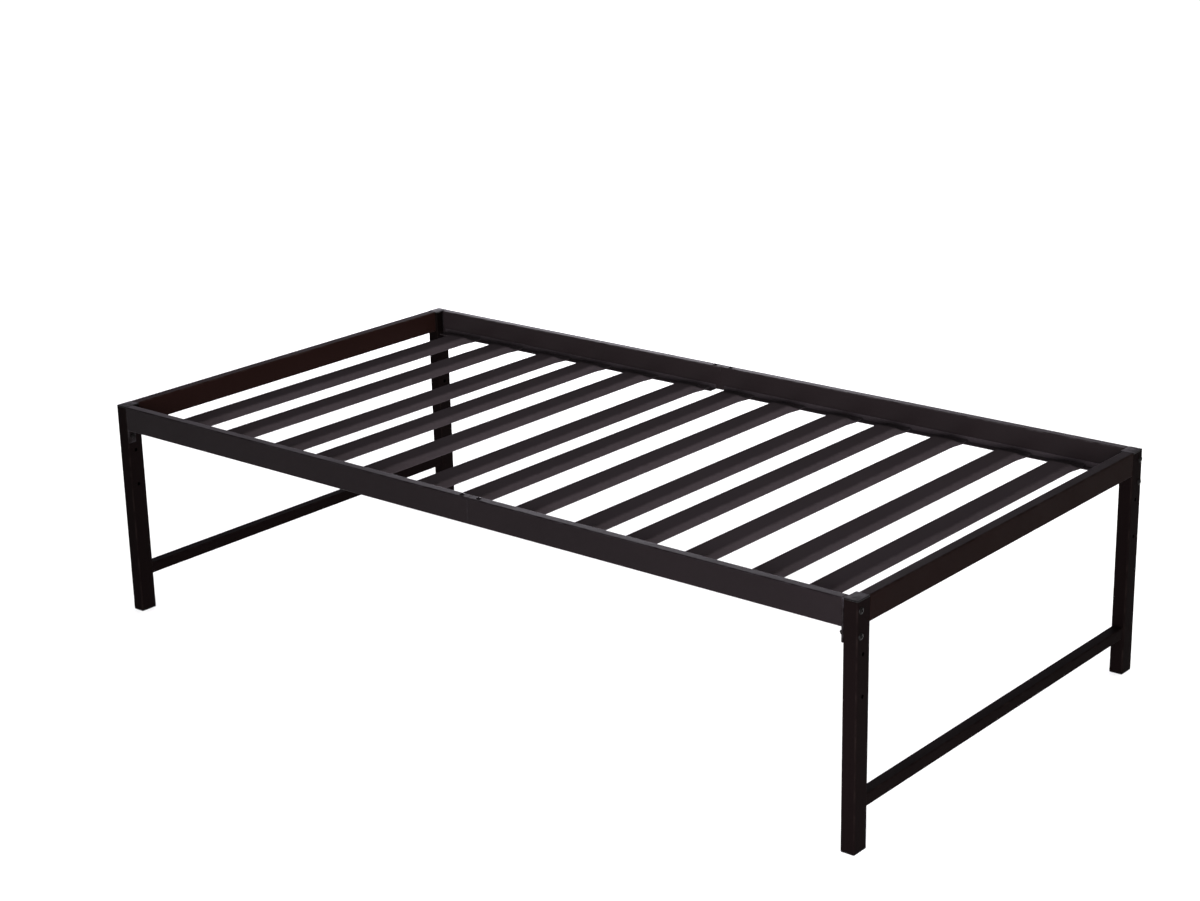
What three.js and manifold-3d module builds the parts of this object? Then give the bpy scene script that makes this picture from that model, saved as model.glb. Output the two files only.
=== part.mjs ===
// Metal platform bed frame for a single (twin) mattress.
// Two welded leg ends carry two side rails, and tube slats lie between the rails on welded ledges.
// Each side rail is two tubes joined on an inner sleeve. The two rails are the same part turned round,
// so the front joint lies to the right of the middle and the back joint to the left.
//
// Millimetres, +Z up. +X runs along the length to the right end, +Y across the width to the back.
// The origin is on the floor under the middle of the frame.

import * as THREE from "three";
import { mergeVertices } from "three/addons/utils/BufferGeometryUtils.js";
import Module from "manifold-3d";

// --- Driving dimensions ---

const LENGTH = 1960;
const WIDTH = 1040;
const HEIGHT = 485;

const GAP = 0.3; // left between pieces that touch
const CORNER_STEPS = 1; // arc fineness of a tube's rounded corner
const ROUND_SIDES = 12; // sides of a bolt or hole

const LEG = { x: 30, y: 40, wall: 1.2, radius: 3 };
const END_RAIL = { width: 25, height: 50, wall: 1.2, radius: 3 };
const CROSSBAR = { width: 25, height: 25, wall: 1, radius: 3, bottom: 80 };
const SIDE_RAIL = { width: 20, height: 55, wall: 1.2, radius: 2.5 };
const LEDGE = { thick: 1.5, upright: 12, shelf: 22, seamClearance: 12, endClearance: 8 };

const SLAT = { width: 48, height: 20, wall: 0.8, radius: 4, endClearance: 2.5 };
const SLAT_FLAT = { width: 56, height: 4, length: 20, ramp: 48 }; // the pressed ends
const SLAT_PITCHES = [141, 153, 126]; // the slats stand in threes, at these centre distances
const SLAT_COUNT = 13;

const PLUG = { flange: 3, footDepth: 18, topDepth: 11, wall: 2.4, bevel: 0.8 };
const BRACKET = { thick: 3, height: 84, nutHeight: 5 };
const BOLT = { radius: 3, headRadius: 6.8, headHeight: 3.3, rim: 0.8, socketRadius: 2.3, socketDepth: 2 };
const NUT = { radius: 5.8, height: 5 };
const CLEAR_HOLE = BOLT.radius + 0.3;
const BOLT_DROPS = [20, 68]; // below the frame's top: through the rail's end, and under the rail
const SPARE_HOLE = { radius: 4, drops: [104, 184] }; // empty holes for a headboard or a guard

const JOINT_OFFSET = 74; // from the middle of the rail to its seam
const SLEEVE = { length: 160, wall: 1.5, radius: 1.5 };
const JOINT_SCREW = { spread: 22, shank: 9, headRadius: 5, headHeight: 2.2 };

const COLOURS = {
  frame: 0x241f1f,
  slat: 0x393335,
  plastic: 0x1b1818,
  fastener: 0x1d1a19,
};

// --- Places that follow from them ---

const railTop = HEIGHT;
const railBottom = HEIGHT - SIDE_RAIL.height;
const railMiddleY = WIDTH / 2 - SIDE_RAIL.width / 2;
const railInnerY = WIDTH / 2 - SIDE_RAIL.width;
const legMiddleX = LENGTH / 2 - LEG.x / 2;
const legMiddleY = WIDTH / 2 - LEG.y / 2;
const bracketX = LENGTH / 2 - LEG.x - GAP - BRACKET.thick / 2;
const railEndX = LENGTH / 2 - LEG.x - BRACKET.thick - 2 * GAP;
const slatUnderside = railBottom + LEDGE.thick + GAP;

const SIDES = [
  { name: "front", sign: -1 },
  { name: "back", sign: 1 },
];
const ENDS = [
  { name: "left", sign: -1 },
  { name: "right", sign: 1 },
];

// --- Solids ---

const wasm = await Module();
wasm.setup();

function solidOf(geometry) {
  const bare = geometry.clone();
  bare.deleteAttribute("normal");
  bare.deleteAttribute("uv");
  const merged = mergeVertices(bare, 1e-4);
  const mesh = new wasm.Mesh({
    numProp: 3,
    vertProperties: merged.attributes.position.array,
    triVerts: new Uint32Array(merged.index.array),
  });
  return new wasm.Manifold(mesh);
}

function geometryOf(solid) {
  const mesh = solid.getMesh();
  const geometry = new THREE.BufferGeometry();
  geometry.setAttribute("position", new THREE.BufferAttribute(mesh.vertProperties, 3));
  geometry.setIndex(new THREE.BufferAttribute(mesh.triVerts, 1));
  geometry.computeVertexNormals();
  return geometry;
}

function join(body, ...others) {
  return geometryOf(others.reduce((solid, other) => solid.add(solidOf(other)), solidOf(body)));
}

function cut(body, ...tools) {
  return geometryOf(tools.reduce((solid, tool) => solid.subtract(solidOf(tool)), solidOf(body)));
}

// --- Profiles and tubes ---

function roundedRectangle(path, width, height, radius) {
  const x = width / 2 - radius;
  const y = height / 2 - radius;
  path.moveTo(x, -height / 2);
  path.absarc(x, -y, radius, -Math.PI / 2, 0);
  path.absarc(x, y, radius, 0, Math.PI / 2);
  path.absarc(-x, y, radius, Math.PI / 2, Math.PI);
  path.absarc(-x, -y, radius, Math.PI, 1.5 * Math.PI);
  path.closePath();
  return path;
}

function tubeProfile({ width, height, wall, radius }) {
  const profile = roundedRectangle(new THREE.Shape(), width, height, radius);
  const bore = roundedRectangle(
    new THREE.Path(),
    width - 2 * wall,
    height - 2 * wall,
    Math.max(radius - wall, 0.5),
  );
  profile.holes.push(bore);
  return profile;
}

// A straight extrusion along +Z, with its middle at the origin.
function bar(profile, length, steps = 1) {
  const geometry = new THREE.ExtrudeGeometry(profile, {
    depth: length,
    steps,
    bevelEnabled: false,
    curveSegments: CORNER_STEPS,
  });
  return geometry.translate(0, 0, -length / 2);
}

// A round hole's tool: a cylinder along X or Y.
function drill(axis, radius, length, x, y, z) {
  const tool = new THREE.CylinderGeometry(radius, radius, length, ROUND_SIDES);
  if (axis === "x") tool.rotateZ(Math.PI / 2);
  return tool.translate(x, y, z);
}

// Turns that lay a bar made along Z down along the length or across the width, profile upright.
const ALONG_X = new THREE.Euler(Math.PI / 2, Math.PI / 2, 0);
const ALONG_Y = new THREE.Euler(Math.PI / 2, 0, 0);

// --- Materials and placing ---

function metal(colour, roughness) {
  return new THREE.MeshStandardMaterial({ color: colour, roughness, metalness: 0.3 });
}

function plastic(colour) {
  return new THREE.MeshStandardMaterial({ color: colour, roughness: 0.6, metalness: 0 });
}

function place(group, name, geometry, material, position, rotation) {
  const mesh = new THREE.Mesh(geometry, material);
  mesh.name = name;
  mesh.position.set(...position);
  if (rotation) mesh.rotation.copy(rotation);
  group.add(mesh);
  return mesh;
}

// --- Leg ends ---

function legGeometry(side) {
  const length = HEIGHT - 2 * (PLUG.flange + GAP);
  const profile = tubeProfile({ width: LEG.x, height: LEG.y, wall: LEG.wall, radius: LEG.radius });
  const topOfTube = HEIGHT - PLUG.flange - GAP;
  const middle = topOfTube - length / 2;
  const boltY = side.sign * (railMiddleY - legMiddleY);
  const bolts = BOLT_DROPS.map((drop) =>
    drill("x", CLEAR_HOLE, 2 * LEG.x, 0, boltY, HEIGHT - drop - middle),
  );
  const spares = SPARE_HOLE.drops.map((drop) =>
    drill("x", SPARE_HOLE.radius, 2 * LEG.x, 0, 0, HEIGHT - drop - middle),
  );
  return cut(bar(profile, length), ...bolts, ...spares);
}

// A moulded insert: a flange as wide as the leg, with a hollow plug that grips the tube's bore.
// It points up from its flange, which lies at the origin.
function plugGeometry(depth) {
  const flangeProfile = roundedRectangle(
    new THREE.Shape(),
    LEG.x - 2 * PLUG.bevel,
    LEG.y - 2 * PLUG.bevel,
    LEG.radius - PLUG.bevel,
  );
  const flange = new THREE.ExtrudeGeometry(flangeProfile, {
    depth: PLUG.flange - 2 * PLUG.bevel,
    bevelThickness: PLUG.bevel,
    bevelSize: PLUG.bevel,
    bevelSegments: 1,
    curveSegments: CORNER_STEPS,
  }).translate(0, 0, PLUG.bevel);
  const sleeve = tubeProfile({
    width: LEG.x - 2 * (LEG.wall + GAP),
    height: LEG.y - 2 * (LEG.wall + GAP),
    wall: PLUG.wall,
    radius: LEG.radius - LEG.wall,
  });
  const overlap = 0.5;
  const plug = bar(sleeve, depth + overlap);
  plug.translate(0, 0, PLUG.flange + (depth - overlap) / 2);
  return join(flange, plug);
}

function endGroup(end, materials) {
  const group = new THREE.Group();
  group.position.x = end.sign * legMiddleX;
  const upsideDown = new THREE.Euler(Math.PI, 0, 0);
  for (const side of SIDES) {
    const corner = side.name + "_" + end.name;
    const y = side.sign * legMiddleY;
    place(group, "leg_" + corner, legGeometry(side), materials.frame, [0, y, HEIGHT / 2]);
    const foot = plugGeometry(PLUG.footDepth);
    place(group, "foot_cap_" + corner, foot, materials.plastic, [0, y, 0]);
    const top = plugGeometry(PLUG.topDepth);
    place(group, "top_cap_" + corner, top, materials.plastic, [0, y, HEIGHT], upsideDown);
  }
  const span = WIDTH - 2 * (LEG.y + GAP);
  const railX = end.sign * (LEG.x - END_RAIL.width) / 2; // its outer face is flush with the legs
  const railZ = railTop - END_RAIL.height / 2;
  const rail = bar(tubeProfile(END_RAIL), span);
  place(group, "end_rail_" + end.name, rail, materials.frame, [railX, 0, railZ], ALONG_Y);
  const crossbar = bar(tubeProfile(CROSSBAR), span);
  const crossbarZ = CROSSBAR.bottom + CROSSBAR.height / 2;
  place(group, "crossbar_" + end.name, crossbar, materials.frame, [0, 0, crossbarZ], ALONG_Y);
  return group;
}

// --- Side rails ---

// The seam of the front rail is to the right, and of the back rail to the left.
function seamX(side) {
  return -side.sign * JOINT_OFFSET;
}

// The length and the middle of the stretch from a rail's seam to its end.
function railStretch(side, end, seamSide, endSide) {
  const from = seamX(side) + end.sign * seamSide;
  const to = end.sign * (railEndX - endSide);
  return { length: Math.abs(to - from), middle: (from + to) / 2 };
}

function sideRailHalf(side, end) {
  const { length, middle } = railStretch(side, end, GAP, 0);
  const tube = bar(tubeProfile(SIDE_RAIL), length);
  const screwAt = seamX(side) + end.sign * JOINT_SCREW.spread - middle;
  const hole = drill("y", CLEAR_HOLE, 10, 0, SIDE_RAIL.height / 2, screwAt);
  return { geometry: cut(tube, hole), middle };
}

function ledgeHalf(side, end) {
  const { length, middle } = railStretch(side, end, LEDGE.seamClearance, LEDGE.endClearance);
  const { thick, upright, shelf } = LEDGE;
  const outline = new THREE.Shape();
  // An angle: its upright stands against the rail, and its shelf points to the middle of the bed.
  const inwards = -side.sign;
  outline.moveTo(0, 0);
  outline.lineTo(inwards * shelf, 0);
  outline.lineTo(inwards * shelf, thick);
  outline.lineTo(inwards * thick, thick);
  outline.lineTo(inwards * thick, upright);
  outline.lineTo(0, upright);
  outline.closePath();
  return { geometry: bar(outline, length), middle };
}

// The plate at a rail's end, in the plane of the leg's face, with its weld nut on the tube's side.
function bracketGeometry(end) {
  const width = SIDE_RAIL.width;
  const plate = new THREE.BoxGeometry(BRACKET.thick, width, BRACKET.height);
  const plateMiddle = railTop - BRACKET.height / 2 - GAP;
  const inwards = -end.sign;
  const nutX = inwards * (BRACKET.thick + BRACKET.nutHeight) / 2;
  const weldNut = new THREE.CylinderGeometry(NUT.radius, NUT.radius, BRACKET.nutHeight + 0.4, 6);
  weldNut.rotateZ(Math.PI / 2);
  weldNut.translate(nutX - inwards * 0.2, 0, railTop - BOLT_DROPS[0] - plateMiddle);
  const holes = BOLT_DROPS.map((drop) =>
    drill("x", CLEAR_HOLE, 40, 0, 0, railTop - drop - plateMiddle),
  );
  return { geometry: cut(join(plate, weldNut), ...holes), middle: plateMiddle };
}

function sleeveGeometry() {
  const profile = tubeProfile({
    width: SIDE_RAIL.width - 2 * (SIDE_RAIL.wall + GAP),
    height: SIDE_RAIL.height - 2 * (SIDE_RAIL.wall + GAP),
    wall: SLEEVE.wall,
    radius: SLEEVE.radius,
  });
  const holes = ENDS.map((end) =>
    drill("y", CLEAR_HOLE, 10, 0, SIDE_RAIL.height / 2, end.sign * JOINT_SCREW.spread),
  );
  return cut(bar(profile, SLEEVE.length), ...holes);
}

function sideGroup(side, materials) {
  const group = new THREE.Group();
  group.position.y = side.sign * railMiddleY;
  const railZ = (railTop + railBottom) / 2;
  for (const end of ENDS) {
    const corner = side.name + "_" + end.name;
    const rail = sideRailHalf(side, end);
    place(group, "side_rail_" + corner, rail.geometry, materials.frame, [rail.middle, 0, railZ], ALONG_X);
    const ledge = ledgeHalf(side, end);
    const ledgeY = -side.sign * (SIDE_RAIL.width / 2 + GAP);
    const ledgePlace = [ledge.middle, ledgeY, railBottom];
    place(group, "slat_ledge_" + corner, ledge.geometry, materials.slat, ledgePlace, ALONG_X);
    const bracket = bracketGeometry(end);
    const bracketPlace = [end.sign * bracketX, 0, bracket.middle];
    place(group, "rail_bracket_" + corner, bracket.geometry, materials.frame, bracketPlace);
    const screwX = seamX(side) + end.sign * JOINT_SCREW.spread;
    place(group, "joint_screw_" + corner, jointScrew(), materials.fastener, [screwX, 0, railTop + GAP]);
  }
  const sleeve = sleeveGeometry();
  place(group, "joint_sleeve_" + side.name, sleeve, materials.frame, [seamX(side), 0, railZ], ALONG_X);
  return group;
}

// --- Fasteners ---

// A button-head bolt pointing down from the origin, with a hexagon socket in its head.
function boltGeometry({ radius, headRadius, headHeight, rim, socketRadius, socketDepth, shank }) {
  const profile = new THREE.Path();
  profile.moveTo(0, -shank);
  profile.lineTo(radius - 0.6, -shank);
  profile.lineTo(radius, -shank + 0.6);
  profile.lineTo(radius, 0);
  profile.lineTo(headRadius, 0);
  profile.lineTo(headRadius, rim);
  profile.quadraticCurveTo(headRadius * 0.75, headHeight, 0, headHeight);
  const head = new THREE.LatheGeometry(profile.getPoints(3), ROUND_SIDES);
  const socket = new THREE.CylinderGeometry(socketRadius, socketRadius, 2 * socketDepth, 6);
  socket.translate(0, headHeight, 0);
  return cut(head, socket).rotateX(Math.PI / 2);
}

function jointScrew() {
  return boltGeometry({
    ...BOLT,
    headRadius: JOINT_SCREW.headRadius,
    headHeight: JOINT_SCREW.headHeight,
    rim: 0.6,
    socketDepth: 1.4,
    shank: JOINT_SCREW.shank,
  });
}

function nutGeometry() {
  const nut = new THREE.CylinderGeometry(NUT.radius, NUT.radius, NUT.height, 6);
  nut.rotateZ(Math.PI / 2);
  return cut(nut, drill("x", CLEAR_HOLE, 2 * NUT.height, 0, 0, 0));
}

function cornerFasteners(side, end, materials) {
  const group = new THREE.Group();
  group.position.set(end.sign * (LENGTH / 2), side.sign * railMiddleY, railTop);
  const corner = side.name + "_" + end.name;
  const reach = LEG.x + BRACKET.thick + NUT.height + 4;
  const headOutwards = new THREE.Euler(0, end.sign * Math.PI / 2, 0);
  BOLT_DROPS.forEach((drop, i) => {
    const bolt = boltGeometry({ ...BOLT, shank: reach });
    const level = i === 0 ? "upper" : "lower";
    const boltPlace = [end.sign * GAP, 0, -drop];
    place(group, `bolt_${level}_${corner}`, bolt, materials.fastener, boltPlace, headOutwards);
  });
  const nutX = -end.sign * (LEG.x + BRACKET.thick + 2 * GAP + NUT.height / 2);
  place(group, "nut_" + corner, nutGeometry(), materials.fastener, [nutX, 0, -BOLT_DROPS[1]]);
  return group;
}

// --- Slats ---

// Brings a distance from a tube's middle plane down to that of its pressed end, wall unchanged.
function press(distance, half, pressedHalf, wall) {
  const size = Math.abs(distance);
  const inner = half - wall;
  const pressedInner = pressedHalf - wall;
  const pressed = size > inner ? size - half + pressedHalf : (size * pressedInner) / inner;
  return Math.sign(distance) * pressed;
}

// A tube across the bed whose two ends are pressed flat to lie on the ledges.
// It is extruded one unit long, one ring of points for each station, and the rings are then moved.
function slatGeometry() {
  const half = railInnerY - GAP - LEDGE.thick - SLAT.endClearance;
  const { length, ramp } = SLAT_FLAT;
  const stations = [
    { along: half, pressed: 1 },
    { along: half - length, pressed: 1 },
    { along: half - length - 0.4 * ramp, pressed: 0.7 },
    { along: half - length - ramp, pressed: 0 },
  ];
  const rings = [...stations.map((s) => ({ ...s, along: -s.along })), ...stations.reverse()];
  const steps = rings.length - 1;
  const geometry = bar(tubeProfile(SLAT), 1, steps);
  const points = geometry.attributes.position;
  const slump = (SLAT.height - SLAT_FLAT.height) / 2; // the underside stays level as the end is pressed
  for (let i = 0; i < points.count; i++) {
    const ring = rings[Math.round((points.getZ(i) + 0.5) * steps)];
    const x = points.getX(i);
    const z = points.getY(i);
    const thin = press(z, SLAT.height / 2, SLAT_FLAT.height / 2, SLAT.wall) - slump;
    const wide = Math.sign(x) * (Math.abs(x) + (SLAT_FLAT.width - SLAT.width) / 2);
    points.setX(i, THREE.MathUtils.lerp(x, wide, ring.pressed));
    points.setY(i, THREE.MathUtils.lerp(z, thin, ring.pressed));
    points.setZ(i, ring.along);
  }
  return geometry;
}

function slatGroup(materials) {
  const group = new THREE.Group();
  const pitch = (i) => SLAT_PITCHES[i % SLAT_PITCHES.length];
  let row = 0;
  for (let i = 0; i < SLAT_COUNT - 1; i++) row += pitch(i);
  group.position.set(-row / 2, 0, slatUnderside + SLAT.height / 2);
  let x = 0;
  for (let i = 0; i < SLAT_COUNT; i++) {
    const name = "slat_" + String(i + 1).padStart(2, "0");
    place(group, name, slatGeometry(), materials.slat, [x, 0, 0], ALONG_Y);
    x += pitch(i);
  }
  return group;
}

// --- The frame ---

function bedFrame() {
  const materials = {
    frame: metal(COLOURS.frame, 0.45),
    slat: metal(COLOURS.slat, 0.5),
    plastic: plastic(COLOURS.plastic),
    fastener: metal(COLOURS.fastener, 0.35),
  };
  const frame = new THREE.Group();
  for (const end of ENDS) frame.add(endGroup(end, materials));
  for (const side of SIDES) {
    frame.add(sideGroup(side, materials));
    for (const end of ENDS) frame.add(cornerFasteners(side, end, materials));
  }
  frame.add(slatGroup(materials));
  return frame;
}

export default bedFrame();
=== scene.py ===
"""The looks of the metal bed frame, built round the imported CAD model. Metres, +Z up, the CAD's own frame.

Each tube, plate and fastener of the CAD model is remade here with finely rounded edges, in the box that its
node fills, and stands for that node. Only the sleeves inside the side rails keep their CAD shape. The slats'
screws and the weld beads are added. Every finish is procedural.
"""

import math
import random
from collections import namedtuple

import bmesh
import bpy
from mathutils import Matrix, Vector


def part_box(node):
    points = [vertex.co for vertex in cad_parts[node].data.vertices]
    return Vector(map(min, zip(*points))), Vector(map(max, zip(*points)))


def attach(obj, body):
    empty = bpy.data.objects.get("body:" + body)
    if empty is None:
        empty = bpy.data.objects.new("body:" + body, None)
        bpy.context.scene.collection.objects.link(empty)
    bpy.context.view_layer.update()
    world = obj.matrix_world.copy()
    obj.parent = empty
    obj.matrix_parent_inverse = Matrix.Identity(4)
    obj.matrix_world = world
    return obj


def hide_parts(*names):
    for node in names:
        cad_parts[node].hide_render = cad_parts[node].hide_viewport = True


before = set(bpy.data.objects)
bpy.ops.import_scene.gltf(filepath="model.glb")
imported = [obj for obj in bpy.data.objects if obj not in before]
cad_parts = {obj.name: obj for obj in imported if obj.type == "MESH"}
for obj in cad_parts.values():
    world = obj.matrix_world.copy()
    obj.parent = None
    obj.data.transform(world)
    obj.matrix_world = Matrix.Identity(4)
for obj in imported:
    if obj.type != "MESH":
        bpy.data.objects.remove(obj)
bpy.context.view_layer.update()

MM = 0.001
ENDS = {"left": -1, "right": 1}
SIDES = {"front": -1, "back": 1}
CORNERS = [(side, end) for side in SIDES for end in ENDS]
LEVELS = ("upper", "lower")  # a corner's two bolts

# --- Camera ---

# In degrees and metres, with the lens and the sensor in millimetres.
CAMERA = {
    "azimuth": 39.9,
    "elevation": 18.1,
    "roll": -1.2,
    "distance": 5.057,
    "lens": 70.4,
    "sensor": 36,
    "aim": Vector((-0.048, 0.032, 0.412)),
}


def bearing(azimuth, elevation):
    """The direction in which a camera or a lamp stands. Azimuth 0 is at -Y and 90 at +X, in degrees."""
    a, e = math.radians(azimuth), math.radians(elevation)
    return Vector((math.sin(a) * math.cos(e), -math.cos(a) * math.cos(e), math.sin(e)))


def make_camera():
    back = bearing(CAMERA["azimuth"], CAMERA["elevation"])
    data = bpy.data.cameras.new("camera")
    data.lens = CAMERA["lens"]
    data.sensor_width = CAMERA["sensor"]
    camera = bpy.data.objects.new("camera", data)
    bpy.context.scene.collection.objects.link(camera)
    camera.location = CAMERA["aim"] + back * CAMERA["distance"]
    turn = (-back).to_track_quat("-Z", "Y").to_matrix().to_4x4()
    roll = Matrix.Rotation(math.radians(CAMERA["roll"]), 4, "Z")
    camera.rotation_mode = "QUATERNION"
    camera.rotation_quaternion = (turn @ roll).to_quaternion()
    bpy.context.scene.camera = camera


# --- Stage and light ---

FLOOR_HALF = 14
SUN_DISTANCE = 5  # a sun's place changes nothing, so it only has to be clear of the bed
WORLD_LIGHT = 0.1
WORLD_TINT = (0.96, 0.98, 1, 1)
PANEL, SMALL_PANEL = (1.6, 1.0), (0.5, 0.5)  # widths and heights
INNER_FACES = ("side_rail_tube_back_left", "side_rail_tube_back_right", "end_rail_tube_left")


def add_light(data, place, facing):
    """Puts a light in the scene at a place, facing a direction; returns it."""
    light = bpy.data.objects.new(data.name, data)
    bpy.context.scene.collection.objects.link(light)
    light.location = place
    light.rotation_mode = "QUATERNION"
    light.rotation_quaternion = facing.to_track_quat("-Z", "Y")
    return light


def soft_light(name, azimuth, elevation, strength, spread, colour=(1, 1, 1)):
    """An even light from far away. Spread is how wide it looks, in degrees."""
    data = bpy.data.lights.new(name, "SUN")
    data.energy = strength * math.pi
    data.angle = math.radians(spread)
    data.color = colour
    towards = bearing(azimuth, elevation)
    return add_light(data, towards * SUN_DISTANCE, -towards)


def panel_light(name, place, aim, size, power, colour=(1, 1, 1)):
    """A soft rectangular lamp that the camera doesn't see."""
    data = bpy.data.lights.new(name, "AREA")
    data.shape = "RECTANGLE"
    data.size, data.size_y = size
    data.energy = power
    data.color = colour
    light = add_light(data, place, Vector(aim) - Vector(place))
    light.visible_camera = False


def light_only(light, *things):
    """Keeps a light to the things given; returns their collection."""
    group = bpy.data.collections.new(light.name + "_only")
    for thing in things:
        group.objects.link(thing)
    light.light_linking.receiver_collection = group
    return group


def make_world():
    """White to the eye, and a dim grey for the light that it gives and for reflections."""
    world = bpy.data.worlds.new("studio")
    bpy.context.scene.world = world
    world.use_nodes = True
    nodes, links = world.node_tree.nodes, world.node_tree.links
    nodes.clear()
    seen = nodes.new("ShaderNodeBackground")
    seen.inputs["Color"].default_value = (1, 1, 1, 1)
    lit = nodes.new("ShaderNodeBackground")
    lit.inputs["Color"].default_value = WORLD_TINT
    lit.inputs["Strength"].default_value = WORLD_LIGHT
    path = nodes.new("ShaderNodeLightPath")
    mix = nodes.new("ShaderNodeMixShader")
    out = nodes.new("ShaderNodeOutputWorld")
    links.new(path.outputs["Is Camera Ray"], mix.inputs["Fac"])
    links.new(lit.outputs["Background"], mix.inputs[1])
    links.new(seen.outputs["Background"], mix.inputs[2])
    links.new(mix.outputs["Shader"], out.inputs["Surface"])


def make_stage():
    """A plain pale floor; returns it."""
    corners = [(x * FLOOR_HALF, y * FLOOR_HALF, 0) for x, y in ((-1, -1), (1, -1), (1, 1), (-1, 1))]
    mesh = bpy.data.meshes.new("floor")
    mesh.from_pydata(corners, [], [(0, 1, 2, 3)])
    floor = bpy.data.objects.new("floor", mesh)
    bpy.context.scene.collection.objects.link(floor)
    material = bpy.data.materials.new("floor")
    material.use_nodes = True
    shader = material.node_tree.nodes["Principled BSDF"]
    shader.inputs["Base Color"].default_value = (0.9, 0.9, 0.9, 1)
    shader.inputs["Roughness"].default_value = 0.95
    shader.inputs["Specular IOR Level"].default_value = 0.1
    mesh.materials.append(material)
    return floor


def make_lights(floor):
    """Low lights from three sides, little from above, and a wash that only the floor gets."""
    soft_light("right", azimuth=84, elevation=18, strength=0.1, spread=40, colour=(1, 0.96, 0.92))
    panel_light("front", (1.9, -2.5, 0.8), (0.5, -0.2, 0.4), PANEL, power=96, colour=(0.94, 0.93, 1))
    panel_light("back", (-1.9, 2.6, 0.7), (-0.5, 0.2, 0.4), PANEL, power=38, colour=(0.95, 0.93, 1))
    panel_light("kicker", (1.75, 2.4, 1.55), (0.98, -0.5, 0.45), SMALL_PANEL, power=15, colour=(1, 0.95, 0.9))
    soft_light("above", azimuth=0, elevation=90, strength=0.06, spread=100)
    soft_light("back_sheen", azimuth=216, elevation=21, strength=0.26, spread=44, colour=(0.98, 0.88, 1))
    wash = soft_light("floor_wash", azimuth=0, elevation=90, strength=0.95, spread=60)
    wash.light_linking.blocker_collection = light_only(wash, floor)


def fill_inner_faces():
    """Lights the back rail and the left end alone, whose inner faces the other lights hardly reach."""
    fill = soft_light("inner_fill", azimuth=40, elevation=20, strength=1.9, spread=60)
    light_only(fill, *(bpy.data.objects[name] for name in INNER_FACES))


# --- Materials ---


class Finish:
    """One node material, with short ways to add a texture and to join sockets."""

    def __init__(self, name, roughness, specular):
        self.material = bpy.data.materials.new(name)
        self.material.use_nodes = True
        self.tree = self.material.node_tree
        self.shader = self.tree.nodes["Principled BSDF"]
        self.shader.inputs["Roughness"].default_value = roughness
        self.shader.inputs["Specular IOR Level"].default_value = specular
        self.place = self.tree.nodes.new("ShaderNodeTexCoord").outputs["Object"]

    def node(self, kind, **settings):
        made = self.tree.nodes.new("ShaderNode" + kind)
        for key, value in settings.items():
            setattr(made, key, value)
        return made

    def link(self, source, target):
        self.tree.links.new(source, target)

    def noise(self, scale, detail=2.0, roughness=0.5, stretch=None):
        """Cloudy noise from 0 to 1, its scale in features per metre."""
        texture = self.node("TexNoise")
        texture.inputs["Scale"].default_value = scale
        texture.inputs["Detail"].default_value = detail
        texture.inputs["Roughness"].default_value = roughness
        place = self.place
        if stretch:
            mapping = self.node("Mapping")
            mapping.inputs["Scale"].default_value = stretch
            self.link(self.place, mapping.inputs["Vector"])
            place = mapping.outputs["Vector"]
        self.link(place, texture.inputs["Vector"])
        return texture.outputs["Fac"]

    def edge(self):
        """1 on a sharp edge and 0 on a flat, as mark_edges left it."""
        return self.node("Attribute", attribute_name="edge").outputs["Fac"]

    def spread(self, value, low, high, to_low=0.0, to_high=1.0):
        """Stretches the range from low to high over the range from to_low to to_high."""
        ranged = self.node("MapRange")
        self.link(value, ranged.inputs["Value"])
        numbers = {"From Min": low, "From Max": high, "To Min": to_low, "To Max": to_high}
        for socket, number in numbers.items():
            ranged.inputs[socket].default_value = number
        return ranged.outputs["Result"]

    def times(self, first, second):
        product = self.node("Math", operation="MULTIPLY")
        self.link(first, product.inputs[0])
        self.link(second, product.inputs[1])
        return product.outputs[0]

    def mix(self, amount, first, second):
        """The first colour where amount is 0 and the second where it is 1. Each is a tuple or a socket."""
        mixed = self.node("Mix", data_type="RGBA")
        self.link(amount, mixed.inputs["Factor"])
        for socket, colour in ((mixed.inputs[6], first), (mixed.inputs[7], second)):
            if isinstance(colour, tuple):
                socket.default_value = (*colour, 1)
            else:
                self.link(colour, socket)
        return mixed.outputs[2]

    def bump(self, height, distance, strength, under=None):
        bumped = self.node("Bump")
        bumped.inputs["Distance"].default_value = distance
        bumped.inputs["Strength"].default_value = strength
        self.link(height, bumped.inputs["Height"])
        if under:
            self.link(under, bumped.inputs["Normal"])
        return bumped.outputs["Normal"]

    def join(self, colour, roughness, normal):
        """Joins the three results to the shader; returns the material."""
        for socket, source in (("Base Color", colour), ("Roughness", roughness), ("Normal", normal)):
            self.link(source, self.shader.inputs[socket])
        return self.material


def tinted(colour, factor):
    return tuple(channel * factor for channel in colour)


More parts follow.
